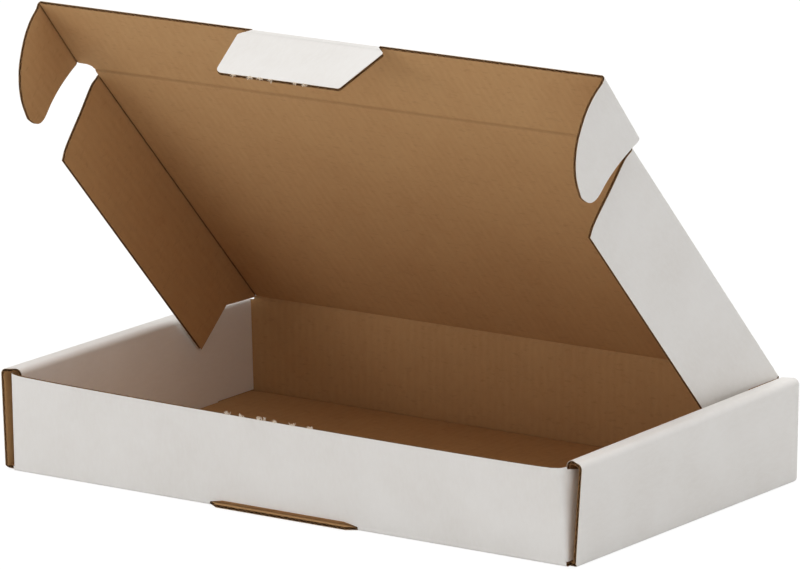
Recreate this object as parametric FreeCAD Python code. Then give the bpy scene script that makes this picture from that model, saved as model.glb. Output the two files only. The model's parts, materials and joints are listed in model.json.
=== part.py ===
import FreeCAD, Part
import math
import os

V = FreeCAD.Vector

# Corrugated mailer box, folded from one die-cut sheet, standing with its lid part open.
# X runs across the box, -Y is its front, +Z is up.
# The origin is the middle of the tray's footprint, on the surface that it stands on.

# Tray, over the outside of its folded walls
outer_width = 265.0
outer_depth = 150.5
outer_height = 40.0
board = 1.4

# Side walls: the sheet rolls over at the top and comes down again inside
ear_space = 2.0             # room for the lid's ear behind the outer panel
layer_gap = 0.5             # between a tucked end flap and the inner panel
roll_top_width = 8.9
roll_bend = 1.6             # middle of the board's thickness, outer top bend
roll_inner_bend = 2.6
wall_flare = 1.9            # the outer panel leans out this much at its top
inner_foot_gap = 0.3
inner_end_setback = 2.2     # the rolled end lies behind the front wall's outer face

# Tabs at the foot of the inner panels, held in slots of the floor
foot_tab_length = 26.0
foot_tab_spacing = 74.0
foot_tab_play = 0.3

# Front and back walls, with end flaps tucked between the side panels
front_wall_top = 38.3
back_corner_top = 38.4
corner_bend = 1.3
end_flap_length = 46.0
end_flap_drop = 6.5         # the flap's top lies this much below its wall's
end_flap_taper = 7.0
end_flap_foot = 0.5

# Lock slot at the front wall's foot, and the lip that the cut leaves on the floor
slot_root_width = 69.5
slot_top_width = 62.5
slot_height = 3.3
lip_reach = 4.0
lip_end_width = 60.0
lip_thickness = 1.2

# Lid, and the fold angles that the box stands with
hinge_height = 40.5
lid_side_inset = 8.3        # side flaps' outer faces, from the outer panel's foot
lid_open_angle = 47.0
lid_corner = 2.0
crease_play = 0.15          # each panel's bevelled edge stays this far from its fold
closing_play = 0.3          # closed front flap in front of the wall

# Front flap, which closes outside the front wall
front_flap_over_bend = 2.5  # it stands a little above the lid's own plane
front_flap_edge = 38.7
notch_depth = 3.1           # free cut between an ear's root and the lid
notch_corner = 2.4

# Ears at the ends of the front flap
ear_bend = 90.0
ear_root_end = 37.5
ear_reach = 35.3
ear_hook_rise = 4.2         # the hook's lower edge by its tip, above the ear's root

# Side flaps of the lid
side_flap_width = 37.3
side_flap_front = 146.3
side_flap_slant = 5.6
side_flap_back = 14.3
side_flap_chamfer = 14.9
side_flap_setback = 2.0     # its fold begins this far from the lid's own fold
left_side_bend = 90.0
right_side_bend = 95.0

# Lock tab on the front flap's outer edge
tab_neck_width = 59.3
tab_neck_length = 2.7
tab_shoulder_width = 67.0
tab_shoulder_at = 5.0
tab_shoulder_corner = 0.8
tab_end_width = 57.0
tab_length = 27.2
tab_left_corner = 3.6
tab_right_corner = 1.0
tab_bend = 75.0
tab_lift = 0.2              # the tab slides in this much above the floor

# Worked out from the sizes above
half_width = outer_width / 2
half_depth = outer_depth / 2
half_board = board / 2
side_wall_total = 3 * board + ear_space + layer_gap
end_flap_inset = board + ear_space
ear_inset = board + ear_space / 2
hinge_y = half_depth - half_board
crease_y = -(half_depth + closing_play + half_board)
lid_length = hinge_y - crease_y
lid_half_width = half_width - lid_side_inset - board
tab_level = board + tab_lift + half_board
front_flap_length = hinge_height - tab_level
ear_axis = half_width - ear_inset
notch_half_width = lid_half_width + half_board


def polygon_face(points):
    """A flat face inside straight edges."""
    return Part.Face(Part.makePolygon([V(*p) for p in points] + [V(*points[0])]))


def box(low, high):
    """A box between two corners."""
    return Part.makeBox(high[0] - low[0], high[1] - low[1], high[2] - low[2], V(*low))


def bent_strip(points, bends, thickness, lift):
    """The section of a folded strip: straight runs along points, with an arc of its middle
    line at each inner point. lift turns a 2D point into a 3D one."""
    runs = []
    for a, b in zip(points, points[1:]):
        length = math.hypot(b[0] - a[0], b[1] - a[1])
        runs.append(((b[0] - a[0]) / length, (b[1] - a[1]) / length))

    def side(offset):
        """The edges of one face of the strip, from start to end."""
        edges = []
        x, y = points[0]
        here = (x - runs[0][1] * offset, y + runs[0][0] * offset)
        for i, bend in enumerate(bends):
            ux, uy = runs[i]
            wx, wy = runs[i + 1]
            turn = math.atan2(ux * wy - uy * wx, ux * wx + uy * wy)
            cut = bend * abs(math.tan(turn / 2))
            cx, cy = points[i + 1]
            hand = math.copysign(1.0, turn)
            middle = (cx - ux * cut - uy * hand * bend, cy - uy * cut + ux * hand * bend)
            radius = bend - hand * offset

            def on_arc(dx, dy):
                return (middle[0] + dy * hand * radius, middle[1] - dx * hand * radius)

            start = on_arc(ux, uy)
            mid_length = math.hypot(ux + wx, uy + wy)
            half = on_arc((ux + wx) / mid_length, (uy + wy) / mid_length)
            end = on_arc(wx, wy)
            edges.append(Part.makeLine(lift(*here), lift(*start)))
            edges.append(Part.Arc(lift(*start), lift(*half), lift(*end)).toShape())
            here = end
        x, y = points[-1]
        last = (x - runs[-1][1] * offset, y + runs[-1][0] * offset)
        edges.append(Part.makeLine(lift(*here), lift(*last)))
        return edges, last

    left, left_end = side(thickness / 2)
    right, right_end = side(-thickness / 2)
    left_start = left[0].Vertexes[0].Point
    right_start = right[0].Vertexes[0].Point
    caps = [Part.makeLine(lift(*left_end), lift(*right_end)), Part.makeLine(right_start, left_start)]
    return Part.Wire(Part.__sortEdges__(left + right + caps))


def quarter_round(low, high, axis_start, axis_end, radius):
    """The part of a round bar that lies in a box: a fold between two panels."""
    along = V(*axis_end) - V(*axis_start)
    bar = Part.makeCylinder(radius, along.Length, V(*axis_start), along)
    return bar.common(box(low, high))


def bevels(start, end, inward):
    """Cutters that bring a plate's edge to a ridge at its mid plane, so that it folds freely."""
    start = V(*start)
    along = V(*end) - start
    inward = V(*inward)
    over = board
    tools = []
    for side in (1, -1):
        ridge = start - inward * over - V(0, 0, side * over)
        corner = start - inward * over + V(0, 0, side * 2 * over)
        slope = start + inward * 2 * over + V(0, 0, side * 2 * over)
        wire = Part.makePolygon([ridge, corner, slope, ridge])
        tools.append(Part.Face(wire).extrude(along))
    return tools


def plate(edges):
    """A board with a flat outline, around its mid plane."""
    wire = Part.Wire(Part.__sortEdges__(edges))
    shape = Part.Face(wire).extrude(V(0, 0, board))
    shape.translate(V(0, 0, -half_board))
    return shape


def rounded_outline(points):
    """Edges of a flat outline whose corners have a radius: points are (x, y, radius)."""
    edges = []
    count = len(points)
    ends = []
    for i in range(count):
        x, y, radius = points[i]
        before = points[i - 1]
        after = points[(i + 1) % count]
        to_before = V(before[0] - x, before[1] - y, 0).normalize()
        to_after = V(after[0] - x, after[1] - y, 0).normalize()
        corner = V(x, y, 0)
        if radius <= 0:
            ends.append((corner, corner))
            continue
        angle = to_before.getAngle(to_after)
        cut = radius / math.tan(angle / 2)
        first = corner + to_before * cut
        last = corner + to_after * cut
        bisector = (to_before + to_after).normalize()
        middle = corner + bisector * (radius / math.sin(angle / 2) - radius)
        edges.append(Part.Arc(first, middle, last).toShape())
        ends.append((first, last))
    for i in range(count):
        a = ends[i][1]
        b = ends[(i + 1) % count][0]
        edges.append(Part.makeLine(a, b))
    return edges


def curve(points):
    """A smooth edge through flat points."""
    spline = Part.BSplineCurve()
    spline.interpolate([V(x, y, 0) for x, y in points])
    return spline.toShape()


def placed(shape, angle, pivot):
    """A flat panel turned up from its fold. Its own y runs away from the fold, and its own
    z faces the box's inside. angle is its height above level."""
    turned = shape.copy()
    turned.rotate(V(0, 0, 0), V(1, 0, 0), 180 - angle)
    turned.translate(pivot)
    return turned


def ahead(pivot, angle, distance):
    """The point that lies a distance along a panel from its fold."""
    a = math.radians(angle)
    return pivot + V(0, -math.cos(a), math.sin(a)) * distance


# Floor, with the lip in front and the slots that hold the inner panels
def floor_panel():
    reach_x = half_width - board
    reach_y = half_depth - board
    panel = box((-reach_x, -reach_y, 0), (reach_x, reach_y, board))
    lip_root = -reach_y
    lip_front = -(half_depth + lip_reach)
    lip = polygon_face([
        (-slot_root_width / 2, lip_root, 0),
        (-slot_root_width / 2, -half_depth, 0),
        (-lip_end_width / 2, lip_front, 0),
        (lip_end_width / 2, lip_front, 0),
        (slot_root_width / 2, -half_depth, 0),
        (slot_root_width / 2, lip_root, 0),
    ]).extrude(V(0, 0, lip_thickness))
    panel = panel.fuse(lip)
    slot_out = half_width - side_wall_total + board + foot_tab_play
    slot_in = half_width - side_wall_total - foot_tab_play
    slot_half = foot_tab_length / 2 + foot_tab_play
    for hand in (-1, 1):
        for end in (-1, 1):
            y = end * foot_tab_spacing / 2
            x_low = min(hand * slot_in, hand * slot_out)
            x_high = max(hand * slot_in, hand * slot_out)
            panel = panel.cut(box((x_low, y - slot_half, -1), (x_high, y + slot_half, board + 1)))
    return panel


def side_section(y):
    """The right wall's section: outer panel, rolled top and inner panel."""
    foot = half_width - half_board
    top = outer_height - half_board
    outer_top = foot + wall_flare
    inner_top = outer_top - roll_top_width + board
    inner_foot = half_width - side_wall_total + half_board
    points = [
        (foot, board),
        (outer_top, top),
        (inner_top, top),
        (inner_foot, board + inner_foot_gap),
    ]
    return bent_strip(points, [roll_bend, roll_inner_bend], board, lambda x, z: V(x, y, z))


def side_wall():
    """The right wall, with its fold to the floor and its foot tabs."""
    wall = Part.Face(side_section(-half_depth)).extrude(V(0, outer_depth, 0))
    fold = quarter_round(
        (half_width - board, -half_depth, 0),
        (half_width, half_depth, board),
        (half_width - board, -half_depth, board),
        (half_width - board, half_depth, board),
        board,
    )
    wall = wall.fuse(fold)
    tab_out = half_width - side_wall_total + board
    tab_in = half_width - side_wall_total
    for end in (-1, 1):
        y = end * foot_tab_spacing / 2
        half = foot_tab_length / 2
        wall = wall.fuse(box((tab_in, y - half, 0), (tab_out, y + half, board + 2 * inner_foot_gap)))
    # The rolled end is cut back at a slant, clear of the front and back walls
    for end in (-1, 1):
        face = end * half_depth
        back = end * (half_depth - inner_end_setback)
        over = end * (half_depth + board)
        wedge = polygon_face([
            (half_width - board - ear_space / 2, over, 0),
            (half_width - board - ear_space / 2, face, 0),
            (half_width - side_wall_total + board, back, 0),
            (half_width - 3 * side_wall_total, back, 0),
            (half_width - 3 * side_wall_total, over, 0),
        ]).extrude(V(0, 0, outer_height + board))
        wall = wall.cut(wedge)
    return wall


def end_wall(top):
    """The front wall in plan: a wall with an end flap folded back at each corner."""
    line_y = -half_depth + half_board
    flap_x = half_width - end_flap_inset - half_board
    flap_end = -half_depth + end_flap_length
    points = [(-flap_x, flap_end), (-flap_x, line_y), (flap_x, line_y), (flap_x, flap_end)]
    section = bent_strip(points, [corner_bend, corner_bend], board, lambda x, y: V(x, y, board))
    wall = Part.Face(section).extrude(V(0, 0, top - board))
    flap_start = -half_depth + 2 * corner_bend
    for hand in (-1, 1):
        x_low = min(hand * (flap_x - board), hand * (flap_x + board))
        x_high = x_low + 2 * board
        foot = box((x_low, flap_start, 0), (x_high, flap_end + board, board + end_flap_foot))
        slope = polygon_face([
            (x_low, flap_start, top + board),
            (x_low, flap_start, top - end_flap_drop),
            (x_low, flap_end + board, top - end_flap_drop - end_flap_taper),
            (x_low, flap_end + board, top + board),
        ]).extrude(V(x_high - x_low, 0, 0))
        wall = wall.cut(foot).cut(slope)
    fold_x = flap_x - corner_bend + half_board
    fold = quarter_round(
        (-fold_x, -half_depth, 0),
        (fold_x, -half_depth + board, board),
        (-fold_x, -half_depth + board, board),
        (fold_x, -half_depth + board, board),
        board,
    )
    return wall.fuse(fold)


def front_wall():
    """The front wall, with the lock slot cut across its foot."""
    slot = polygon_face([
        (-slot_root_width / 2, -half_depth - board, -board),
        (-slot_root_width / 2, -half_depth - board, board),
        (-slot_top_width / 2, -half_depth - board, slot_height),
        (slot_top_width / 2, -half_depth - board, slot_height),
        (slot_root_width / 2, -half_depth - board, board),
        (slot_root_width / 2, -half_depth - board, -board),
    ]).extrude(V(0, 2 * board, 0))
    return end_wall(front_wall_top).cut(slot)


def back_wall():
    """The back wall, whose top edge is bevelled for the lid's fold."""
    top = hinge_height - crease_play
    wall = end_wall(top)
    wall.rotate(V(0, 0, 0), V(0, 0, 1), 180)
    for hand in (-1, 1):
        x_low = min(hand * lid_half_width, hand * half_width)
        x_high = max(hand * lid_half_width, hand * half_width)
        wall = wall.cut(box((x_low, 0, back_corner_top), (x_high, half_depth + board, top + board)))
    for side in (-1, 1):
        near = hinge_y + side * 2 * board
        wall = wall.cut(polygon_face([
            (-half_width, hinge_y - side * board, top + board),
            (-half_width, near, top - 2 * board),
            (-half_width, near, top + board),
        ]).extrude(V(outer_width, 0, 0)))
    return wall


def tray():
    right = side_wall()
    left = right.mirror(V(0, 0, 0), V(1, 0, 0))
    shape = floor_panel()
    for piece in (right, left, front_wall(), back_wall()):
        shape = shape.fuse(piece)
    return shape.removeSplitter()


# Lid and its flaps: each is drawn flat, with y away from its fold
def lid():
    x = lid_half_width - crease_play
    low = crease_play
    high = lid_length - crease_play
    panel = plate(rounded_outline([
        (-x, low, 0), (x, low, 0), (x, high, lid_corner), (-x, high, lid_corner),
    ]))
    for y, inward in ((low, 1), (high, -1)):
        for tool in bevels((-half_width, y, 0), (half_width, y, 0), (0, inward, 0)):
            panel = panel.cut(tool)
    return panel


def front_flap():
    x = ear_axis - crease_play
    neck = notch_half_width
    panel = plate(rounded_outline([
        (-neck, crease_play, 0), (neck, crease_play, 0),
        (neck, notch_depth, notch_corner / 2), (x, notch_depth, 0),
        (x, front_flap_edge, 0), (-x, front_flap_edge, 0),
        (-x, notch_depth, 0), (-neck, notch_depth, notch_corner / 2),
    ]))
    tools = bevels((-neck - board, crease_play, 0), (neck + board, crease_play, 0), (0, 1, 0))
    for hand in (-1, 1):
        tools += bevels((hand * x, 0, 0), (hand * x, front_flap_edge, 0), (-hand, 0, 0))
    root = front_flap_length - crease_play
    root_half = tab_neck_width / 2 + crease_play
    tools.append(box((-root_half, root, -board), (root_half, front_flap_edge + board, board)))
    tools += bevels((-root_half, root, 0), (root_half, root, 0), (0, -1, 0))
    for tool in tools:
        panel = panel.cut(tool)
    return panel


def ear():
    """The right ear, flat: a hooked tab whose root is the front flap's end."""
    x = ear_axis + crease_play
    root = notch_depth
    end = ear_root_end
    reach = ear_reach
    rise = ear_hook_rise
    bow = [(x, end), (x + 0.23 * reach, 0.992 * end), (x + 0.43 * reach, 0.94 * end),
           (x + 0.64 * reach, 0.84 * end), (x + 0.82 * reach, 0.69 * end),
           (x + 0.94 * reach, 0.52 * end), (x + 0.995 * reach, 0.35 * end)]
    tip = (x + reach, 0.28 * end)
    hook = [(x + 0.955 * reach, root + rise), (x + 0.83 * reach, root + 0.45 * rise),
            (x + 0.62 * reach, root + 0.43 * rise), (x + 0.4 * reach, root + 0.48 * rise),
            (x + 0.2 * reach, root + 0.29 * rise), (x, root)]
    tip_arc = Part.Arc(V(*bow[-1], 0), V(*tip, 0), V(*hook[0], 0)).toShape()
    shape = plate([curve(bow), tip_arc, curve(hook), Part.makeLine(V(*hook[-1], 0), V(*bow[0], 0))])
    for tool in bevels((x, 0, 0), (x, end + board, 0), (1, 0, 0)):
        shape = shape.cut(tool)
    return shape


def folded_ear(hand):
    shape = ear()
    shape.rotate(V(ear_axis, 0, 0), V(0, 1, 0), -ear_bend)
    if hand < 0:
        shape = shape.mirror(V(0, 0, 0), V(1, 0, 0))
    return shape


def side_flap(hand, bend):
    """A side flap: it turns about the lid's inner face, and its root rounds the fold."""
    x = lid_half_width
    outer = x + crease_play
    width = side_flap_width
    front = side_flap_front
    edge = [(outer, front), (x + 0.2 * width, front), (x + 0.5 * width, front - 0.3 * side_flap_slant),
            (x + 0.78 * width, front - 0.6 * side_flap_slant), (x + width, front - side_flap_slant)]
    straight = [(x + width, front - side_flap_slant), (x + width, side_flap_back),
                (x + side_flap_chamfer, side_flap_back), (outer, side_flap_setback), (outer, front)]
    lines = [Part.makeLine(V(*a, 0), V(*b, 0)) for a, b in zip(straight, straight[1:])]
    shape = plate([curve(edge)] + lines)
    axis = V(x, 0, half_board)
    shape.rotate(axis, V(0, 1, 0), -90)
    fold = quarter_round(
        (x, side_flap_setback, -half_board),
        (x + board, front, half_board + crease_play),
        (x, side_flap_setback, half_board),
        (x, front, half_board),
        board,
    )
    reach_up = half_board + 2 * crease_play
    fold = fold.fuse(box((x, side_flap_setback, half_board), (x + board, front, reach_up)))
    shape = shape.fuse(fold).removeSplitter()
    shape.rotate(axis, V(0, 1, 0), 90 - bend)
    if hand < 0:
        shape = shape.mirror(V(0, 0, 0), V(1, 0, 0))
    return shape


def lock_tab():
    low = crease_play
    neck = tab_neck_width / 2
    shoulder = tab_shoulder_width / 2
    end = tab_end_width / 2
    shape = plate(rounded_outline([
        (-neck, low, 0), (neck, low, 0), (neck, tab_neck_length, 0),
        (shoulder, tab_shoulder_at, tab_shoulder_corner), (end, tab_length, tab_right_corner),
        (-end, tab_length, tab_left_corner), (-shoulder, tab_shoulder_at, tab_shoulder_corner),
        (-neck, tab_neck_length, 0),
    ]))
    for tool in bevels((-shoulder, low, 0), (shoulder, low, 0), (0, 1, 0)):
        shape = shape.cut(tool)
    return shape


def build():
    hinge = V(0, hinge_y, hinge_height)
    lid_angle = lid_open_angle
    crease = ahead(hinge, lid_angle, lid_length)
    flap_angle = lid_angle + front_flap_over_bend
    tab_fold = ahead(crease, flap_angle, front_flap_length)
    tab_angle = flap_angle - tab_bend
    print("hinge", hinge, "crease", crease, "tab fold", tab_fold)
    return {
        "tray": tray(),
        "lid": placed(lid(), lid_angle, hinge),
        "front_flap": placed(front_flap(), flap_angle, crease),
        "left_ear": placed(folded_ear(-1), flap_angle, crease),
        "right_ear": placed(folded_ear(1), flap_angle, crease),
        "left_side_flap": placed(side_flap(-1, left_side_bend), lid_angle, hinge),
        "right_side_flap": placed(side_flap(1, right_side_bend), lid_angle, hinge),
        "lock_tab": placed(lock_tab(), tab_angle, tab_fold),
    }


os.makedirs("parts", exist_ok=True)
for name, shape in build().items():
    print(name, "valid", shape.isValid(), "solids", len(shape.Solids), "mm3", round(shape.Volume))
    shape.exportStep(os.path.join("parts", name + ".step"))
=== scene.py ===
import json
import math
import random

import bpy
from mathutils import Matrix, Vector
from mathutils.geometry import delaunay_2d_cdt


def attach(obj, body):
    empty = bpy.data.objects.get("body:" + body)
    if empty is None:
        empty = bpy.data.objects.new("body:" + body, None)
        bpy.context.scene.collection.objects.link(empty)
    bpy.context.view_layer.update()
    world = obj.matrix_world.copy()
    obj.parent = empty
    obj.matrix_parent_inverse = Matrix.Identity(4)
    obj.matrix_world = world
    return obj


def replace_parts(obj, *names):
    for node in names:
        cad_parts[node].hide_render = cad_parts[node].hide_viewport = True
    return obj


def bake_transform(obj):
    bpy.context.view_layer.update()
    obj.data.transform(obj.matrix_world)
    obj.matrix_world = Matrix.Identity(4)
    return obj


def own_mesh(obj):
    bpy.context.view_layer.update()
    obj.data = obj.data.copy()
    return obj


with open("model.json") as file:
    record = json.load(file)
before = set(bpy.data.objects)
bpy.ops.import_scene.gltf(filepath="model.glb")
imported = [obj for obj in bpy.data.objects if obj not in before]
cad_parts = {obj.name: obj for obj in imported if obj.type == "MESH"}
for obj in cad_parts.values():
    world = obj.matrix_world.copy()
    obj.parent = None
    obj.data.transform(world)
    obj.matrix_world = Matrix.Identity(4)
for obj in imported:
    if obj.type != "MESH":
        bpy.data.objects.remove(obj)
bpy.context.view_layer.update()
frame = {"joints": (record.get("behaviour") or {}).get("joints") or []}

# Corrugated mailer box. Each panel is drawn on the flat blank that the box is folded from:
# X runs across the blank and across its flutes, Y runs along them, and w runs through the
# board, from the white liner below zero to the brown liner above it. A fold then only says
# where a point of the blank goes. Lengths are in millimetres until a mesh is made.
MM = 0.001

joints = {joint["name"]: joint for joint in frame["joints"]}


def joint_place(name):
    """Where a joint's axis lies, in millimetres."""
    return Vector(joints[name]["pos_m"]) / MM


hinge = joint_place("lid_fold")
crease = joint_place("front_flap_fold")
tab_fold = joint_place("lock_tab_fold")
ear_fold_x = joint_place("right_ear_fold").x
side_fold_x = joint_place("right_side_flap_fold").x

# Board
BOARD = 1.4
HALF = BOARD / 2
LINER = 0.26
MEDIUM = 0.2
FLUTE = 3.5
FLUTE_STEPS = 14
WAVE = HALF - LINER - MEDIUM / 2 + 0.02
SHARP_ANGLE = 30

# Tray
WIDTH = 265.0
DEPTH = 150.5
HEIGHT = 40.0
FLOOR_Z = HALF
WALL_Y = DEPTH / 2 - HALF
SIDE_X = WIDTH / 2 - HALF
FOLD_RADIUS = 0.75
WALL_FOLD_RADIUS = 0.35
SIDE_OUT_FRONT = {1: 0.0, -1: 0.8}
SIDE_FLARE_FRONT = {1: 3.0, -1: 1.2}
SIDE_FLARE_BACK = {1: 1.0, -1: 1.0}
ROLL_WIDTH_FRONT = 8.4
ROLL_WIDTH_BACK = 8.7
ROLL_TOP_BACK = {1: 40.7, -1: 40.0}
ROLL_BEND = 1.7
ROLL_INNER_BEND = 1.8
INNER_FOOT_X = {1: 126.5, -1: 124.7}
INNER_FOOT_Z = 1.7
ROLL_SETBACK_FRONT = 2.2
ROLL_SETBACK_BACK = 1.4
FRONT_TOP = 38.3
BACK_CORNER_TOP = 38.4
END_FLAP_X = 128.2
END_FLAP_BEND = 0.7
END_FLAP_END = 46.0
END_FLAP_DROP = 0.8
END_FLAP_TAPER = 9.0
END_FLAP_LEAN = {1: 1.1, -1: 0.0}
FRONT_FOOT_END = 128.6
BACK_FOOT_END = 127.9
FOOT_TAB_HALF = 13.0
FOOT_TAB_PLACES = (-37.0, 37.0)
FOOT_SLOT_HALF = 1.0
BULGE = 6.7
BULGE_HALF = 129.0
BULGE_PEAK = 0.77
BULGE_FOOT = 1.9
SLOT_ROOT = 34.4
SLOT_TOP = 28.3
SLOT_Z = 2.6
LIP_HALF = 30.0
LIP_REACH = 2.7
FRONT_LEAD = 0.8

# Blank: the rows of Y where it folds, from the front wall to the lock tab
FRONT_ROW = 0.0
BACK_ROW = 2 * WALL_Y
HINGE_ROW = BACK_ROW + hinge.z - FLOOR_Z
CREASE_ROW = HINGE_ROW + (crease - hinge).length
TAB_ROW = CREASE_ROW + (tab_fold - crease).length
FOLD_HALF = 1.8
CREASE_RADIUS = 0.8
RUN_IN = 20.0
RUN_OUT = 60.0

# Lid, flaps, ears and tab
LID_HALF = side_fold_x - 0.15
SHOULDER = 1.1
NECK_HALF = side_fold_x + HALF
NOTCH = 3.1
SIDE_FOLD_START = 1.85
SIDE_FOLD_FOOT = 0.6
SIDE_FLAP_SLIT = {1: 12.3, -1: 13.9}
SIDE_FOLD_END = 146.3
FLAP_EDGE = 38.7
EAR_ROOT_END = 37.5
SIDE_FLAP_WIDTH = 37.3
SIDE_FLAP_EDGE = ((6, -0.5), (16.6, 1.3), (31.8, 3.5), (SIDE_FLAP_WIDTH, 5.6))
SIDE_FLAP_BACK = 14.7
SIDE_FLAP_CUT = 14.9
SIDE_BEND = {1: 95.0, -1: 90.0}
EAR_BEND = {1: 96.5, -1: 92.0}
EAR_HOOK = (
    (0.2, 8), (2.0, 15), (6.5, 23.5), (11.5, 29), (17.5, 33), (24.5, 35.2), (27.2, 35.3), (31.5, 33.5),
    (33.3, 29.5), (32.5, 22), (32.5, 14), (33.5, 6),
)
TAB_NECK_HALF = 29.3
TAB_WIDENING = 2.0
TAB_HALF = 33.5
TAB_SHOULDER = 3.6
TAB_END_HALF = 28.5
TAB_LENGTH = 27.2
LID_SHIFT = 0.6
TAB_SHIFT = 1.0

lid_angle = math.atan2((crease - hinge).z, -(crease - hinge).y)
flap_angle = math.atan2((tab_fold - crease).z, -(tab_fold - crease).y)
TAB_BEND = math.radians(75.0)
tab_angle = flap_angle - TAB_BEND


# Paths: the middle line of a folded board, seen along the fold
class Path:
    """Straight runs joined by arcs. Its reference is a path with the same number of runs,
    whose length along the blank it shares."""

    def __init__(self, points, radii, reference=None):
        self.parts = []
        here = Vector(points[0])
        for i, radius in enumerate(radii):
            corner = Vector(points[i + 1])
            before = (corner - Vector(points[i])).normalized()
            after = (Vector(points[i + 2]) - corner).normalized()
            turn = before.angle_signed(after) * -1
            cut = radius * abs(math.tan(turn / 2))
            start = corner - before * cut
            side = math.copysign(1, turn)
            centre = start + Vector((-before.y, before.x)) * side * radius
            self.parts.append(("run", here, start))
            self.parts.append(("arc", centre, start - centre, turn))
            here = corner + after * cut
        self.parts.append(("run", here, Vector(points[-1])))
        self.lengths = [self.length(part) for part in self.parts]
        if reference:
            self.lengths = reference.lengths
        self.total = sum(self.lengths)

    @staticmethod
    def length(part):
        if part[0] == "run":
            return (part[2] - part[1]).length
        return part[2].length * abs(part[3])

    def at(self, distance):
        """The place and the left-hand normal at a distance along the path."""
        for part, length in zip(self.parts, self.lengths):
            if distance <= length or part is self.parts[-1]:
                break
            distance -= length
        share = distance / length
        if part[0] == "run":
            along = (part[2] - part[1]).normalized()
            return part[1].lerp(part[2], share), Vector((-along.y, along.x))
        turn = Matrix.Rotation(part[3] * share, 2)
        arm = turn @ part[2]
        normal = -arm.normalized() * math.copysign(1, part[3])
        return part[1] + arm, normal


# Outlines on the blank
def mirrored(points):
    """A half outline, drawn from the middle to the right, with its left half."""
    left = [(-x, y) for x, y in reversed(points)]
    return points + left


def sided(points, hand):
    """An outline drawn on the right, as it lies on the side of hand."""
    return [(hand * x, y) for x, y in points]


def round_corner(before, corner, after, radius, steps=5):
    """The points of an arc that rounds one corner of an outline."""
    corner = Vector(corner)
    to_before = (Vector(before) - corner).normalized()
    to_after = (Vector(after) - corner).normalized()
    angle = to_before.angle(to_after)
    cut = radius / math.tan(angle / 2)
    centre = corner + (to_before + to_after).normalized() * radius / math.sin(angle / 2)
    first = corner + to_before * cut - centre
    last = corner + to_after * cut - centre
    turn = -first.angle_signed(last)
    return [tuple(centre + Matrix.Rotation(turn * i / steps, 2) @ first) for i in range(steps + 1)]


def smooth_through(points, steps=6):
    """A rounded line through points, by Catmull-Rom spans."""
    line = [Vector(p) for p in points]
    line = [2 * line[0] - line[1]] + line + [2 * line[-1] - line[-2]]
    out = []
    for a, b, c, d in zip(line, line[1:], line[2:], line[3:]):
        for i in range(steps):
            t = i / steps
            out.append(0.5 * (2 * b + (c - a) * t + (2 * a - 5 * b + 4 * c - d) * t ** 2
                              + (3 * b - a - 3 * c + d) * t ** 3))
    return [tuple(p) for p in out] + [tuple(line[-2])]


def divided(loop, step):
    """A closed outline with no side longer than step."""
    out = []
    for a, b in zip(loop, loop[1:] + loop[:1]):
        count = max(1, math.ceil(math.dist(a, b) / step))
        out += [(a[0] + (b[0] - a[0]) * i / count, a[1] + (b[1] - a[1]) * i / count)
                for i in range(count)]
    return out


def crossings(loops, x):
    """The stretches of Y that lie inside the loops at one X."""
    found = []
    for loop in loops:
        for (ax, ay), (bx, by) in zip(loop, loop[1:] + loop[:1]):
            if (ax <= x) != (bx <= x):
                found.append(ay + (by - ay) * (x - ax) / (bx - ax))
    found.sort()
    return list(zip(found[::2], found[1::2]))


def inside(loops, x, y):
    """Whether a point of the blank lies on the board."""
    return any(low < y < high for low, high in crossings(loops, x))


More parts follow.
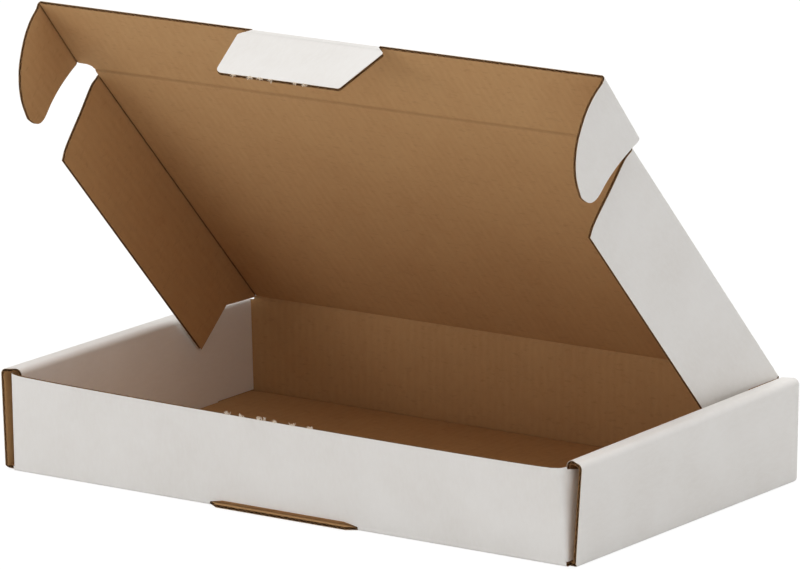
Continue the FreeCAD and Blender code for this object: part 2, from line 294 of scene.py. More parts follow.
# Meshes
class Sheet:
    """Collects the faces of one piece of board."""

    def __init__(self, place):
        self.place = place
        self.points = []
        self.flat = []
        self.faces = []
        self.kinds = []

    def point(self, x, y, w):
        """Adds a point of the blank and gives its number."""
        self.points.append(self.place(x, y, w) * MM)
        self.flat.append((x * MM, y * MM, w * MM))
        return len(self.points) - 1

    def face(self, corners, kind):
        self.faces.append(corners)
        self.kinds.append(kind)

    def liner(self, loops, low, high, kinds, columns, rows, step):
        """A liner between two levels of w. kinds are the materials of its low and high face."""
        edge_loops = [divided(loop, step) for loop in loops]
        points = [p for loop in edge_loops for p in loop]
        sides = []
        start = 0
        for loop in edge_loops:
            count = len(loop)
            sides += [(start + i, start + (i + 1) % count) for i in range(count)]
            start += count
        xs = [x for x, y in points]
        ys = [y for x, y in points]
        lines = [((x, min(ys) - 1), (x, max(ys) + 1)) for x in columns if min(xs) < x < max(xs)]
        lines += [((min(xs) - 1, y), (max(xs) + 1, y)) for y in rows if min(ys) < y < max(ys)]
        for line in lines:
            sides.append((len(points), len(points) + 1))
            points += line
        flat, _, faces = delaunay_2d_cdt([Vector(p) for p in points], sides, [], 0, 1e-5)[:3]
        middles = [sum((flat[i] for i in face), Vector((0, 0))) / len(face) for face in faces]
        kept = [face for face, middle in zip(faces, middles) if inside(loops, middle.x, middle.y)]
        wanted = sorted({i for face in kept for i in face})
        lower = {i: self.point(flat[i].x, flat[i].y, low) for i in wanted}
        upper = {i: self.point(flat[i].x, flat[i].y, high) for i in wanted}
        used = {}
        for face in kept:
            self.face([lower[i] for i in reversed(face)], kinds[0])
            self.face([upper[i] for i in face], kinds[1])
            for a, b in zip(face, face[1:] + face[:1]):
                used[(a, b)] = True
        for a, b in used:
            if (b, a) not in used:
                self.face([lower[a], lower[b], upper[b], upper[a]], EDGE)

    def medium(self, loops, rows):
        """The fluted sheet between the liners, cut to the same outline."""
        xs = [x for loop in loops for x, y in loop]
        step = FLUTE / FLUTE_STEPS
        first = math.ceil(min(xs) / step)
        last = math.floor(max(xs) / step)
        runs = []
        open_runs = []
        for k in range(first, last + 1):
            x = k * step + 1e-4
            spans = crossings(loops, x)
            if len(spans) != len(open_runs):
                runs += open_runs
                open_runs = [[] for span in spans]
            for run, span in zip(open_runs, spans):
                run.append((x, span))
        for run in runs + open_runs:
            if len(run) > 1:
                self.wave(run, rows)

    def wave(self, run, rows):
        """One stretch of the fluted sheet, as a closed thin shell."""
        inner = [y for y in rows if any(low < y < high for x, (low, high) in run)]
        grids = []
        for offset in (-MEDIUM / 2, MEDIUM / 2):
            grid = []
            for x, (low, high) in run:
                w = WAVE * math.sin(2 * math.pi * x / FLUTE) + offset
                ys = [low] + [min(max(y, low), high) for y in inner] + [high]
                grid.append([self.point(x, y, w) for y in ys])
            grids.append(grid)
        lower, upper = grids
        count = len(lower[0])
        for i in range(len(run) - 1):
            for j in range(count - 1):
                self.face([lower[i][j], lower[i][j + 1], lower[i + 1][j + 1], lower[i + 1][j]], FLUTED)
                self.face([upper[i][j], upper[i + 1][j], upper[i + 1][j + 1], upper[i][j + 1]], FLUTED)
            for j in (0, count - 1):
                cap = [lower[i][j], lower[i + 1][j], upper[i + 1][j], upper[i][j]]
                self.face(cap if j == 0 else cap[::-1], EDGE)
        for i in (0, len(run) - 1):
            for j in range(count - 1):
                cap = [lower[i][j], upper[i][j], upper[i][j + 1], lower[i][j + 1]]
                self.face(cap if i == 0 else cap[::-1], EDGE)

    def piece(self, name):
        """Makes the mesh. It keeps each point's place on the blank, which the materials follow."""
        mesh = bpy.data.meshes.new(name)
        mesh.from_pydata(self.points, [], self.faces)
        for material in (white_board, brown_board, raw_edge, fluted_board):
            mesh.materials.append(material)
        mesh.polygons.foreach_set("material_index", self.kinds)
        mesh.polygons.foreach_set("use_smooth", [True] * len(self.faces))
        flat = mesh.attributes.new("blank", "FLOAT_VECTOR", "POINT")
        flat.data.foreach_set("vector", [c for p in self.flat for c in p])
        mesh.set_sharp_from_angle(angle=math.radians(SHARP_ANGLE))
        mesh.validate()
        piece = bpy.data.objects.new(name, mesh)
        bpy.context.scene.collection.objects.link(piece)
        return piece


WHITE, BROWN, EDGE, FLUTED = range(4)
LINERS = {
    "outer": (-HALF, -HALF + LINER, (WHITE, FLUTED)),
    "inner": (HALF - LINER, HALF, (FLUTED, BROWN)),
}


def board(name, loops, place, columns=(), rows=(), step=6.0, layers=("outer", "medium", "inner")):
    """A piece of board with the outlines in loops. The liners get extra points along columns
    and rows, so that they bend there."""
    sheet = Sheet(place)
    for layer in layers:
        if layer == "medium":
            sheet.medium(loops, rows)
        else:
            low, high, kinds = LINERS[layer]
            sheet.liner(loops, low, high, kinds, columns, rows, step)
    return sheet.piece(name)


# Materials
def shader(name):
    """A new material with its node tree, its surface shader and its place on the blank."""
    material = bpy.data.materials.new(name)
    material.use_nodes = True
    tree = material.node_tree
    surface = tree.nodes["Principled BSDF"]
    blank = tree.nodes.new("ShaderNodeAttribute")
    blank.attribute_name = "blank"
    return material, tree, surface, blank.outputs["Vector"]


def node(tree, kind, inputs=None, **settings):
    """A new node. Each input is a value or the socket that feeds it."""
    made = tree.nodes.new(kind)
    for key, value in settings.items():
        setattr(made, key, value)
    for key, value in (inputs or {}).items():
        if isinstance(value, bpy.types.NodeSocket):
            tree.links.new(value, made.inputs[key])
        else:
            made.inputs[key].default_value = value
    return made


def noise(tree, place, scale, stretch=(1, 1, 1), detail=2.0, roughness=0.5):
    """A noise from 0 to 1 on the blank. scale is in waves per metre."""
    mapped = node(tree, "ShaderNodeMapping", {"Vector": place, "Scale": stretch})
    made = node(tree, "ShaderNodeTexNoise", {
        "Vector": mapped.outputs["Vector"], "Scale": scale, "Detail": detail, "Roughness": roughness,
    })
    return made.outputs["Fac"]


def math_node(tree, operation, a, b=0.0):
    return node(tree, "ShaderNodeMath", {0: a, 1: b}, operation=operation).outputs[0]


def ramp(tree, value, low, high, out_low=0.0, out_high=1.0):
    """value from the range low to high, carried over to out_low to out_high and held there."""
    made = node(tree, "ShaderNodeMapRange", {
        "Value": value, "From Min": low, "From Max": high, "To Min": out_low, "To Max": out_high,
    })
    return made.outputs["Result"]


def mix(tree, share, a, b, blend="MIX"):
    made = node(tree, "ShaderNodeMix", data_type="RGBA", blend_type=blend)
    for socket, value in ((made.inputs[0], share), (made.inputs[6], a), (made.inputs[7], b)):
        if isinstance(value, bpy.types.NodeSocket):
            tree.links.new(value, socket)
        else:
            socket.default_value = value
    return made.outputs[2]


def colour(red, green, blue):
    """A colour given as it looks on a screen, from 0 to 255."""
    linear = []
    for value in (red, green, blue):
        value /= 255
        linear.append(value / 12.92 if value <= 0.04045 else ((value + 0.055) / 1.055) ** 2.4)
    return (*linear, 1.0)


def flute_lines(tree, blank):
    """A wave from -1 to 1 that follows the flutes."""
    parts = node(tree, "ShaderNodeSeparateXYZ", {"Vector": blank})
    turns = math_node(tree, "MULTIPLY", parts.outputs["X"], 2 * math.pi / (FLUTE * MM))
    return math_node(tree, "SINE", turns)


def coat(tree, surface, base, roughness, specular):
    tree.links.new(base, surface.inputs["Base Color"])
    surface.inputs["Roughness"].default_value = roughness
    surface.inputs["Specular IOR Level"].default_value = specular


def bump(tree, surface, height, strength, distance):
    made = node(tree, "ShaderNodeBump", {"Height": height, "Strength": strength, "Distance": distance})
    tree.links.new(made.outputs["Normal"], surface.inputs["Normal"])


def painted_fold_shade(tree, blank, fold, first, last, amount):
    """Painted shade along one of the folds that run along the blank at X = fold, between
    two of its rows: how far a point lies in that fold, as the share of darkening."""
    parts = node(tree, "ShaderNodeSeparateXYZ", {"Vector": blank})
    across = math_node(tree, "ABSOLUTE", parts.outputs["X"])
    away = math_node(tree, "ABSOLUTE", math_node(tree, "SUBTRACT", across, fold * MM))
    near = ramp(tree, away, 0.3 * MM, 1.1 * MM, amount, 0.0)
    after = math_node(tree, "GREATER_THAN", parts.outputs["Y"], first * MM)
    before = math_node(tree, "LESS_THAN", parts.outputs["Y"], last * MM)
    return math_node(tree, "MULTIPLY", near, math_node(tree, "MULTIPLY", after, before))


def make_white_board():
    material, tree, surface, blank = shader("white_board")
    clouds = ramp(tree, noise(tree, blank, 30, detail=3), 0.3, 0.7)
    base = mix(tree, clouds, colour(237, 233, 228), colour(243, 240, 236))
    fibre = ramp(tree, noise(tree, blank, 900, (1, 0.35, 1), 3), 0.35, 0.7)
    base = mix(tree, math_node(tree, "MULTIPLY", fibre, 0.25), base, colour(248, 246, 243))
    coat(tree, surface, base, 0.62, 0.3)
    grain = noise(tree, blank, 1500, detail=3)
    lines = math_node(tree, "MULTIPLY", flute_lines(tree, blank), 0.25)
    bump(tree, surface, math_node(tree, "ADD", grain, lines), 0.25, 0.00006)
    return material


def make_brown_board():
    material, tree, surface, blank = shader("brown_board")
    clouds = ramp(tree, noise(tree, blank, 26, (1, 0.6, 1), 4, 0.6), 0.3, 0.7)
    base = mix(tree, clouds, colour(186, 143, 96), colour(193, 151, 103))
    fine = ramp(tree, noise(tree, blank, 480, (1, 0.4, 1), 4, 0.6), 0.3, 0.7)
    base = mix(tree, math_node(tree, "MULTIPLY", fine, 0.22), base, colour(210, 171, 123))
    dark = ramp(tree, noise(tree, blank, 650, (0.5, 1.2, 1), 2), 0.58, 0.75)
    base = mix(tree, math_node(tree, "MULTIPLY", dark, 0.16), base, colour(118, 80, 46))
    lines = flute_lines(tree, blank)
    base = mix(tree, ramp(tree, lines, -1, 1, 0.0, 0.05), base, colour(140, 100, 62))
    # Painted shade: the brown face is darkened along the side-flap folds and the ear folds.
    painted_side_fold_shade = painted_fold_shade(tree, blank, side_fold_x + 0.5, HINGE_ROW, CREASE_ROW - 4, 0.7)
    base = mix(tree, painted_side_fold_shade, base, colour(70, 42, 20))
    painted_ear_fold_shade = painted_fold_shade(tree, blank, ear_fold_x + 0.1, CREASE_ROW + NOTCH, CREASE_ROW + 60, 0.6)
    base = mix(tree, painted_ear_fold_shade, base, colour(70, 42, 20))
    # Painted shade: a thin dark line along the front crease.
    parts = node(tree, "ShaderNodeSeparateXYZ", {"Vector": blank})
    past_crease = math_node(tree, "SUBTRACT", parts.outputs["Y"], (CREASE_ROW - 0.4) * MM)
    painted_crease_shade = ramp(tree, math_node(tree, "ABSOLUTE", past_crease), 0.2 * MM, 1.0 * MM, 0.3, 0.0)
    base = mix(tree, painted_crease_shade, base, colour(110, 74, 42))
    coat(tree, surface, base, 0.82, 0.22)
    grain = noise(tree, blank, 1100, (1, 0.5, 1), 4, 0.6)
    lines = math_node(tree, "MULTIPLY", lines, 0.35)
    bump(tree, surface, math_node(tree, "ADD", grain, lines), 0.35, 0.00008)
    return material


def make_raw_edge():
    """Cut edges: cream where the white liner is cut, brown through the rest of the board."""
    material, tree, surface, blank = shader("raw_edge")
    parts = node(tree, "ShaderNodeSeparateXYZ", {"Vector": blank})
    depth = ramp(tree, parts.outputs["Z"], (-HALF + 0.12) * MM, (-HALF + LINER) * MM)
    fibre = ramp(tree, noise(tree, blank, 1600, detail=3), 0.3, 0.7)
    brown = mix(tree, fibre, colour(112, 78, 46), colour(160, 122, 82))
    base = mix(tree, depth, colour(236, 224, 208), brown)
    coat(tree, surface, base, 0.9, 0.15)
    bump(tree, surface, fibre, 0.5, 0.0001)
    return material


def make_fluted_board():
    material, tree, surface, blank = shader("fluted_board")
    fibre = ramp(tree, noise(tree, blank, 700, (1, 0.4, 1), 4), 0.3, 0.7)
    base = mix(tree, fibre, colour(104, 70, 40), colour(128, 90, 54))
    coat(tree, surface, base, 0.9, 0.15)
    bump(tree, surface, fibre, 0.3, 0.0001)
    return material


def make_torn_fibre():
    material, tree, surface, blank = shader("torn_fibre")
    fibre = ramp(tree, noise(tree, blank, 1200, detail=3), 0.3, 0.7)
    base = mix(tree, fibre, colour(206, 180, 146), colour(244, 236, 224))
    coat(tree, surface, base, 0.95, 0.1)
    return material


white_board = make_white_board()
brown_board = make_brown_board()
raw_edge = make_raw_edge()
fluted_board = make_fluted_board()
torn_fibre = make_torn_fibre()


def scored(w, distance, depth=0.42, reach=0.8):
    """w where the board is crushed along a fold: the brown face dips, the white one hardly."""
    dip = depth * math.exp(-(distance / reach) ** 2)
    return w - dip * (w + HALF) / BOARD


def spread(low, high, step):
    """Even places from low to high, both included."""
    count = max(1, round((high - low) / step))
    return [low + (high - low) * i / count for i in range(count + 1)]


# Tray floor and rolled side walls: one section across the box, run from front to back
def side_path(foot_x, flare, roll_width, top, inner_foot_x, reference=None):
    top_out = foot_x + flare
    top_in = top_out - roll_width + BOARD
    return Path(
        [(0, FLOOR_Z), (foot_x, FLOOR_Z), (top_out, top - HALF), (top_in, top - HALF),
         (inner_foot_x, 0)],
        [FOLD_RADIUS, ROLL_BEND, ROLL_INNER_BEND], reference)


side_paths = {}
shared = None
for hand in (1, -1):
    foot_x = SIDE_X + SIDE_OUT_FRONT[hand]
    inner_x = INNER_FOOT_X[hand]
    front_path = side_path(foot_x, SIDE_FLARE_FRONT[hand], ROLL_WIDTH_FRONT, HEIGHT, inner_x, shared)
    shared = shared or front_path
    side_paths[hand] = (front_path, side_path(
        SIDE_X, SIDE_FLARE_BACK[hand], ROLL_WIDTH_BACK, ROLL_TOP_BACK[hand], inner_x, shared))


def place_side(x, y, w):
    """A point of the floor or of a rolled side wall."""
    hand = 1 if x >= 0 else -1
    share = (y - FRONT_ROW) / (BACK_ROW - FRONT_ROW)
    front_path, back_path = side_paths[hand]
    at_front, normal_front = front_path.at(abs(x))
    at_back, normal_back = back_path.at(abs(x))
    at = at_front.lerp(at_back, share)
    normal = normal_front.lerp(normal_back, share).normalized()
    at = at + normal * w
    return Vector((at.x * hand, y - WALL_Y, at.y))


def make_floor_and_sides():
    path = side_paths[1][0]
    starts = [sum(path.lengths[:i]) for i in range(len(path.lengths))]
    fold = starts[1]
    roll = starts[3]
    roll_in = starts[5]
    end = path.total - INNER_FOOT_Z
    face = -HALF
    front_corner = FRONT_FOOT_END + 0.3
    front_face = face + ROLL_SETBACK_FRONT
    half = [
        (LIP_HALF, face - LIP_REACH), (SLOT_ROOT - 0.4, face), (SLOT_ROOT - 0.4, FOLD_HALF),
        (front_corner, FOLD_HALF), (front_corner, 1.0), (fold + 0.2, 1.0), (fold + 1.2, face),
        (roll + 2.6, face), (roll_in - 0.4, front_face), (end, front_face),
    ]
    middle = WALL_Y
    tab_rows = []
    for place in FOOT_TAB_PLACES:
        tab_rows += [place - FOOT_TAB_HALF, place + FOOT_TAB_HALF]
    deep = path.total - 0.02
    for low, high in zip(tab_rows[::2], tab_rows[1::2]):
        half += [(end, middle + low), (deep - 0.6, middle + low + 0.3), (deep, middle + low + 1.0),
                 (deep, middle + high - 1.0), (deep - 0.6, middle + high - 0.3), (end, middle + high)]
    back = BACK_ROW
    half += [
        (end, back - face - ROLL_SETBACK_BACK), (roll_in - 0.4, back - face - ROLL_SETBACK_BACK),
        (roll + 2.6, back - face), (fold + 1.2, back - face), (fold + 0.2, back + 0.2),
        (BACK_FOOT_END, back + 0.2), (BACK_FOOT_END, back - FOLD_HALF),
    ]
    loops = [mirrored(half)]
    for hand in (-1, 1):
        for place in FOOT_TAB_PLACES:
            low = middle + place - FOOT_TAB_HALF - 0.3
            high = middle + place + FOOT_TAB_HALF + 0.3
            a = hand * INNER_FOOT_X[hand] - FOOT_SLOT_HALF
            b = a + 2 * FOOT_SLOT_HALF
            loops.append([(a, low), (b, low), (b, high), (a, high)])
    columns = []
    for hand in (-1, 1):
        for part in (1, 3, 5):
            low = starts[part]
            high = low + path.lengths[part]
            columns += [hand * x for x in spread(low - 0.01, high + 0.01, 0.4)]
    rows = spread(FRONT_ROW + 6, BACK_ROW - 6, 12)
    piece = board("tray_floor_and_sides", loops, place_side, columns, rows, step=8)
    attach(piece, "tray")
    return piece


# Front and back walls: a plan path with the end flaps, stood up from a fold in the floor
plan_path = Path([(0, 0), (END_FLAP_X, 0), (END_FLAP_X, END_FLAP_END)], [END_FLAP_BEND])
wall_path = Path([(-10, FLOOR_Z), (0, FLOOR_Z), (0, 60)], [WALL_FOLD_RADIUS])


def bulge(x):
    """How far the front wall's upper edge stands forward at x. It stands out furthest at
    BULGE_PEAK of the way along the wall."""
    along = (min(max(x, 1 - BULGE_HALF), BULGE_HALF) + BULGE_HALF) / (2 * BULGE_HALF)
    rising = (max(along, 0.004) / BULGE_PEAK) ** 0.5
    falling = ((1.0001 - along) / (1 - BULGE_PEAK)) ** 0.15
    return BULGE * rising * falling


def place_wall(x, rise, w, bulging, wraps=True):
    """A point of the front wall, before it is set on its side of the box. rise is the
    distance along the blank from the fold. The wall wraps round into its end flaps."""
    hand = 1 if x >= 0 else -1
    plan, plan_normal = plan_path.at(abs(x))
    fold, fold_normal = wall_path.at(rise + 10 - WALL_FOLD_RADIUS * (2 - math.pi / 2) / 2)
    across = wraps and abs(x) > END_FLAP_X - END_FLAP_BEND
    height = fold.y
    if across:
        offset = Vector((plan_normal.x * hand, plan_normal.y, 0)) * w
        at = Vector((plan.x * hand, plan.y, height)) + offset
    else:
        w = scored(w, rise, 0.3)
        at = Vector((x, -fold.x - fold_normal.x * w, height + fold_normal.y * w))
    if bulging:
        at.y -= bulge(at.x) * max(0.0, (height - BULGE_FOOT) / (FRONT_TOP - BULGE_FOOT))
        at.y -= FRONT_LEAD * min(1.0, max(0.0, 1 + rise / FOLD_HALF))
        at.x += END_FLAP_LEAN[hand] * abs(x) / END_FLAP_X * height / HEIGHT
    return at


def place_front(x, y, w):
    at = place_wall(x, FRONT_ROW - y, w, True)
    return Vector((at.x, at.y - WALL_Y, at.z))


def place_foot(x, y, w):
    at = place_wall(x, FRONT_ROW - y, w, True, wraps=False)
    return Vector((at.x, at.y - WALL_Y, at.z))


def place_back(x, y, w):
    at = place_wall(x, y - BACK_ROW, w, False)
    return Vector((at.x, WALL_Y - at.y, at.z))


corner_x = plan_path.lengths[0] + plan_path.lengths[1] + 0.2
flap_end_x = plan_path.total
low_rise = BULGE_FOOT - FLOOR_Z
front_rise = FRONT_TOP - FLOOR_Z
flap_top = front_rise - END_FLAP_DROP


def make_front_wall():
    """The front wall in its three layers, its folds at the floor and its end flaps. It bulges."""
    slot_low = SLOT_ROOT - (SLOT_ROOT - SLOT_TOP) * (BULGE_FOOT - BOARD) / (SLOT_Z - BOARD)
    fold_x = END_FLAP_X - END_FLAP_BEND
    fold_rows = spread(-low_rise, FOLD_HALF, 0.25)
    for hand, name in ((-1, "left"), (1, "right")):
        strip = [(FRONT_FOOT_END, FOLD_HALF), (SLOT_ROOT, FOLD_HALF), (SLOT_ROOT, -HALF),
                 (slot_low, -low_rise), (FRONT_FOOT_END, -low_rise)]
        columns = spread(hand * 36, hand * (fold_x - 1), 8)
        fold = board("front_fold_" + name, [sided(strip, hand)], place_foot, columns, fold_rows, step=8)
        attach(fold, "tray")
        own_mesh(fold)
        flap = [(corner_x, -low_rise), (flap_end_x, -low_rise), (flap_end_x, END_FLAP_TAPER - flap_top),
                (corner_x + 0.6, -flap_top), (corner_x, -flap_top - 1.0)]
        end_flap = board("front_end_flap_" + name, [sided(flap, hand)], place_front,
                         spread(hand * 136, hand * 170, 8), spread(-28, -4, 6), step=6)
        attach(end_flap, "tray")
        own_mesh(end_flap)
    outline = mirrored([(SLOT_TOP, FLOOR_Z - SLOT_Z), (slot_low, -low_rise), (fold_x, -low_rise),
                        (corner_x, -low_rise), (corner_x, -front_rise - 0.3), (fold_x - 3, -front_rise)])
    columns = spread(-fold_x, fold_x, 5)
    for hand in (-1, 1):
        columns += [hand * x for x in spread(fold_x + 0.3, corner_x - 0.3, 0.3)]
    rows = spread(-front_rise, -low_rise, 4)[1:-1]
    for layer, w in (("outer", -HALF + LINER / 2), ("medium", 0.0), ("inner", HALF - LINER / 2)):
        wall = board("front_wall_" + layer, [outline], place_front, columns, rows, step=4, layers=(layer,))
        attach(wall, "tray")
        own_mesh(wall)


def make_back_wall():
    """The back wall with its end flaps, up to the lid's fold."""
    fold_x = END_FLAP_X - END_FLAP_BEND
    top = HINGE_ROW - FOLD_HALF
    corner_top = BACK_ROW + BACK_CORNER_TOP - FLOOR_Z
    foot = BACK_ROW + low_rise
    flap_high = BACK_ROW + flap_top
    shoulder = LID_HALF + SHOULDER
    half = [(fold_x, BACK_ROW - FOLD_HALF), (fold_x, foot), (flap_end_x, foot),
            (flap_end_x, flap_high - END_FLAP_TAPER), (corner_x + 0.6, flap_high),
            (corner_x, flap_high + 1.0), (corner_x, corner_top - 1.2), (corner_x - 0.9, corner_top - 0.25),
            (shoulder + 1.0, corner_top), (shoulder, top)]
    columns = spread(-120, 120, 20)
    for hand in (-1, 1):
        columns += [hand * x for x in spread(fold_x + 0.3, corner_x, 0.3)]
    rows = spread(BACK_ROW - FOLD_HALF, foot, 0.25) + spread(BACK_ROW + 6, top - 2, 8)
    wall = board("tray_back_wall", [mirrored(half)], place_back, columns, rows, step=8)
    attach(wall, "tray")


# Lid and what hangs on it
def placer(pivot, angle, row, shift):
    """Places the blank's points on a flat panel that rises from a fold at pivot."""
    away = Vector((0, -math.cos(angle), math.sin(angle)))
    inward = Vector((0, -math.sin(angle), -math.cos(angle)))

    def place(x, y, w):
        return Vector((x + shift, pivot.y, pivot.z)) + away * (y - row) + inward * w

    return place, away, inward


place_lid, lid_away, lid_inward = placer(hinge, lid_angle, HINGE_ROW, LID_SHIFT)
place_flap, flap_away, flap_inward = placer(crease, flap_angle, CREASE_ROW, LID_SHIFT)
place_tab, tab_away, _ = placer(tab_fold, tab_angle, TAB_ROW, TAB_SHIFT)


def across_fold(pivot, before, before_normal, after, row, radius, depth, shift):
    """Places points of a strip that bends from the direction before to after at pivot. Both
    directions run the same way along the blank, and the fold turns to or from before_normal."""
    turn = math.atan2(after.dot(before_normal), after.dot(before))
    cut = radius * abs(math.tan(turn / 2))
    end = (RUN_OUT * math.cos(turn), RUN_OUT * math.sin(turn))
    path = Path([(-RUN_IN, 0), (0, 0), end], [radius])
    middle = RUN_IN - cut + radius * abs(turn) / 2

    def place(x, y, w):
        at, normal = path.at(middle + y - row)
        at = at + normal * scored(w, y - row, depth)
        return Vector((x + shift, pivot.y, pivot.z)) + before * at.x + before_normal * at.y

    return place, turn


def bend_over(piece, body_a, body_b, pivot, before, after, turn):
    """Bakes a fold strip's placement into its mesh; the bodies on its two sides are not used."""
    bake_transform(piece)


def make_row_fold(name, bodies, half_width, pivot, before, before_normal, after, row, depth,
                  shift=LID_SHIFT, wider=0.0, widening=0.0):
    """A fold that runs across the box. It may be wider before its middle, or widen after it."""
    place, turn = across_fold(pivot, before, before_normal, after, row, CREASE_RADIUS, depth, shift)
    first = row - FOLD_HALF
    last = row + FOLD_HALF
    loop = mirrored([(half_width + wider, first), (half_width + wider, row - 0.2), (half_width, row + 0.2),
                     (half_width + widening, last)])
    rows = spread(first, last, 0.2)[1:-1]
    piece = board(name, [loop], place, spread(-half_width, half_width, 8)[1:-1], rows, step=8)
    bend_over(piece, *bodies, pivot, before, after, turn)
    return piece


def make_lid():
    """The lid's panel between its hinge and its front crease."""
    make_row_fold("lid_hinge", ("tray", "lid"), LID_HALF, hinge, Vector((0, 0, 1)), Vector((0, -1, 0)),
                  lid_away, HINGE_ROW, 0.45, wider=SHOULDER)
    side = side_fold_x - FOLD_HALF
    low = HINGE_ROW + FOLD_HALF
    high = CREASE_ROW - FOLD_HALF
    first = HINGE_ROW + SIDE_FOLD_START
    last = HINGE_ROW + SIDE_FOLD_END
    half = [(LID_HALF, low), (LID_HALF, first), (side, first), (side, last), (LID_HALF, last),
            (LID_HALF, high)]
    lid = board("lid_panel", [mirrored(half)], place_lid, (), (), step=10)
    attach(lid, "lid")
    make_row_fold("front_crease", ("lid", "front_flap"), LID_HALF, crease, lid_away, lid_inward,
                  flap_away, CREASE_ROW, 0.4)


def side_flap_placer(hand):
    """Places the blank's points on a side flap and its fold. The fold turns about the lid's
    inner face, so the flap's middle line starts half a board outside it."""
    bend = math.radians(SIDE_BEND[hand])
    radius = HALF
    corner = side_fold_x + radius * math.tan(bend / 2)
    end = (corner + RUN_OUT * math.cos(bend), RUN_OUT * math.sin(bend))
    path = Path([(corner - RUN_IN, 0), (corner, 0), end], [radius])
    start = RUN_IN - radius * math.tan(bend / 2)

    def place(x, y, w):
        at, normal = path.at(start + abs(x) - side_fold_x)
        at = at + normal * scored(w, abs(x) - side_fold_x - 0.5, 0.35, 0.7)
        return place_lid(at.x * hand, y, at.y)

    return place


def make_side_flap(hand, name):
    """A side flap of the lid and the strip that it folds on."""
    place = side_flap_placer(hand)
    bend = math.radians(SIDE_BEND[hand])
    root = side_fold_x + HALF * bend
    front = HINGE_ROW + SIDE_FOLD_END
    back = HINGE_ROW + SIDE_FOLD_START
    foot = HINGE_ROW + SIDE_FOLD_FOOT
    strip = [(side_fold_x - FOLD_HALF, back), (side_fold_x, back), (side_fold_x, foot), (root + 0.7, foot),
             (root + 0.7, front), (side_fold_x - FOLD_HALF, front)]
    columns = [hand * x for x in spread(side_fold_x - 1.4, root + 0.5, 0.2)]
    rows = spread(back + 8, front - 8, 10)
    fold = board(name + "_fold", [sided(strip, hand)], place, columns, rows, step=9)
    start = place_lid(hand * (side_fold_x - 0.2), HINGE_ROW + 70, 0.5)
    end = place_lid(hand * (side_fold_x + 0.5), HINGE_ROW + 70, 0.5 + 0.7)
    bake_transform(fold)
    x = root - HALF
    front_edge = [(root + 0.7, front)] + [(x + out, front - drop) for out, drop in SIDE_FLAP_EDGE]
    outline = smooth_through(front_edge, 4)
    outline += [(x + SIDE_FLAP_WIDTH, HINGE_ROW + SIDE_FLAP_BACK),
                (x + SIDE_FLAP_CUT, HINGE_ROW + SIDE_FLAP_SLIT[hand]), (root + 0.7, foot)]
    flap = board(name + "_panel", [sided(outline, hand)], place, (), (), step=8)
    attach(flap, name)
    if hand < 0:
        outer_face = place_lid(-root, HINGE_ROW + 70, 0).x - HALF
        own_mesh(flap)
    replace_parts(flap, name)


def make_front_flap():
    low = CREASE_ROW + FOLD_HALF
    notch = CREASE_ROW + NOTCH
    side = ear_fold_x - FOLD_HALF
    edge = CREASE_ROW + FLAP_EDGE
    tab_low = TAB_ROW - FOLD_HALF
    neck = TAB_NECK_HALF + 0.15
    half = [(LID_HALF, low), (NECK_HALF - 0.4, low + 0.4), (NECK_HALF + 0.2, notch - 0.5),
            (NECK_HALF + 1.4, notch - 0.1), (side, notch), (side, edge)]
    slip = TAB_SHIFT - LID_SHIFT
    under_tab = [(slip + neck, edge), (slip + neck, tab_low), (slip - neck, tab_low), (slip - neck, edge)]
    outline = half + under_tab + [(-x, y) for x, y in reversed(half)]
    flap = board("front_flap_panel", [outline], place_flap, (), (), step=8)
    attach(flap, "front_flap")
    return flap


def ear_placer(hand):
    bend = math.radians(EAR_BEND[hand])
    radius = CREASE_RADIUS
    cut = radius * math.tan(bend / 2)
    end = (ear_fold_x + RUN_OUT * math.cos(bend), RUN_OUT * math.sin(bend))
    path = Path([(ear_fold_x - RUN_IN, 0), (ear_fold_x, 0), end], [radius])
    middle = RUN_IN - cut + radius * bend / 2

    def place(x, y, w):
        at, normal = path.at(middle + abs(x) - ear_fold_x)
        at = at + normal * scored(w, abs(x) - ear_fold_x, 0.3)
        return place_flap(at.x * hand, y, at.y)

    return place


def make_ear(hand, name):
    """A hooked ear of the front flap and the strip that it folds on."""
    place = ear_placer(hand)
    root = ear_fold_x + FOLD_HALF
    notch = CREASE_ROW + NOTCH
    end = CREASE_ROW + EAR_ROOT_END
    edge = CREASE_ROW + FLAP_EDGE
    strip = [(ear_fold_x - FOLD_HALF, notch), (root, notch), (root, end + 0.1),
             (ear_fold_x + 0.6, end + 0.5), (ear_fold_x - 0.6, edge), (ear_fold_x - FOLD_HALF, edge)]
    columns = [hand * x for x in spread(ear_fold_x - 1.6, root - 0.2, 0.2)]
    rows = spread(notch + 5, end - 5, 8)
    fold = board(name + "_fold", [sided(strip, hand)], place, columns, rows, step=6)
    reach = FOLD_HALF - HALF - 0.1
    middle_y = CREASE_ROW + 20
    start = place_flap(hand * (ear_fold_x - reach), middle_y, 0)
    finish = place_flap(hand * ear_fold_x, middle_y, reach)
    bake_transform(fold)
    hook = [(end - back, reach) for back, reach in EAR_HOOK]
    outer = smooth_through([(end, FOLD_HALF)] + hook + [(notch, FOLD_HALF)], 5)
    outline = [(ear_fold_x + reach, row) for row, reach in outer]
    ear = board(name + "_panel", [sided(outline, hand)], place, (), (), step=5)
    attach(ear, name)
    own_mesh(ear)
    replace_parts(ear, name)


